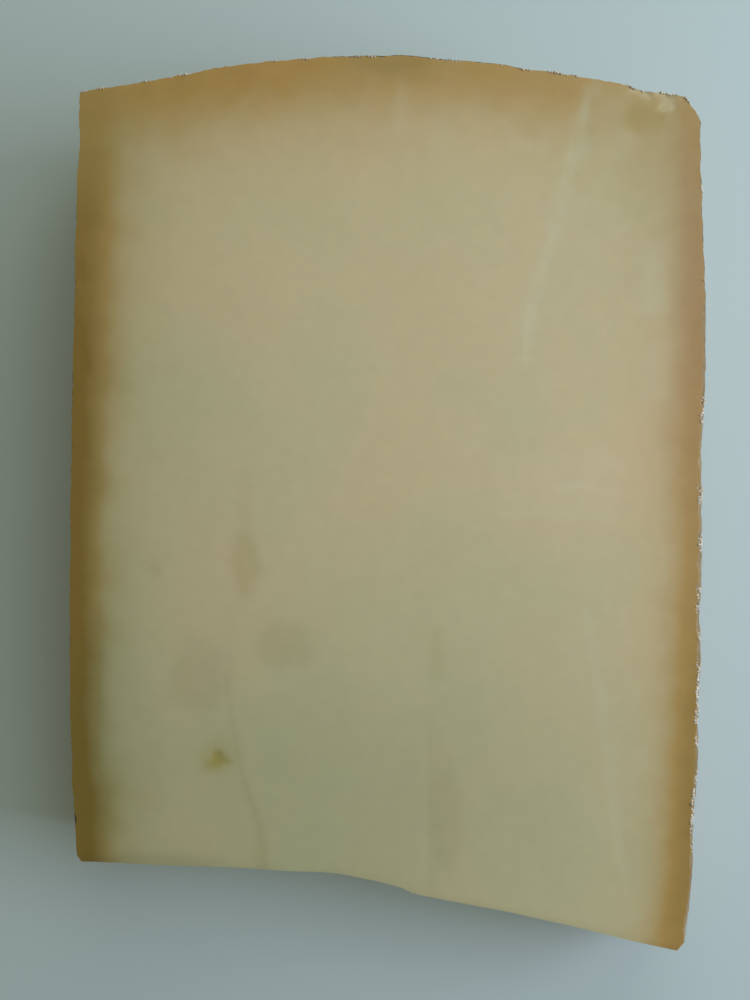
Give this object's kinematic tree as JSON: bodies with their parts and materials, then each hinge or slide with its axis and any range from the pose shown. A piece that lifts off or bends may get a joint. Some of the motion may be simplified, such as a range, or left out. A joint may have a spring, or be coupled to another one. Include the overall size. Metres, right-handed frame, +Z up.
{
  "type": "cheese chunk",
  "caption": "Flat chunk of hard mountain cheese: a thin sector of a wheel lying on a cut face, with a bowed heel, rough rind on the sides and a slanting inner cut.",
  "frame": {"origin": "centre of the bounding box on the lower cut face that it rests on", "axes": "+Z up from the table, +Y towards the heel (the rim of the wheel), X across the wheel from rind to rind"},
  "size_m": [0.104, 0.1454, 0.0279],
  "materials": {
    "cheese": "matte cut paste with a slight oily sheen, brown under a rough crumbling rind"
  },
  "bodies": {
    "root": {"cheese_chunk": "cheese"}
  },
  "joints": []
}
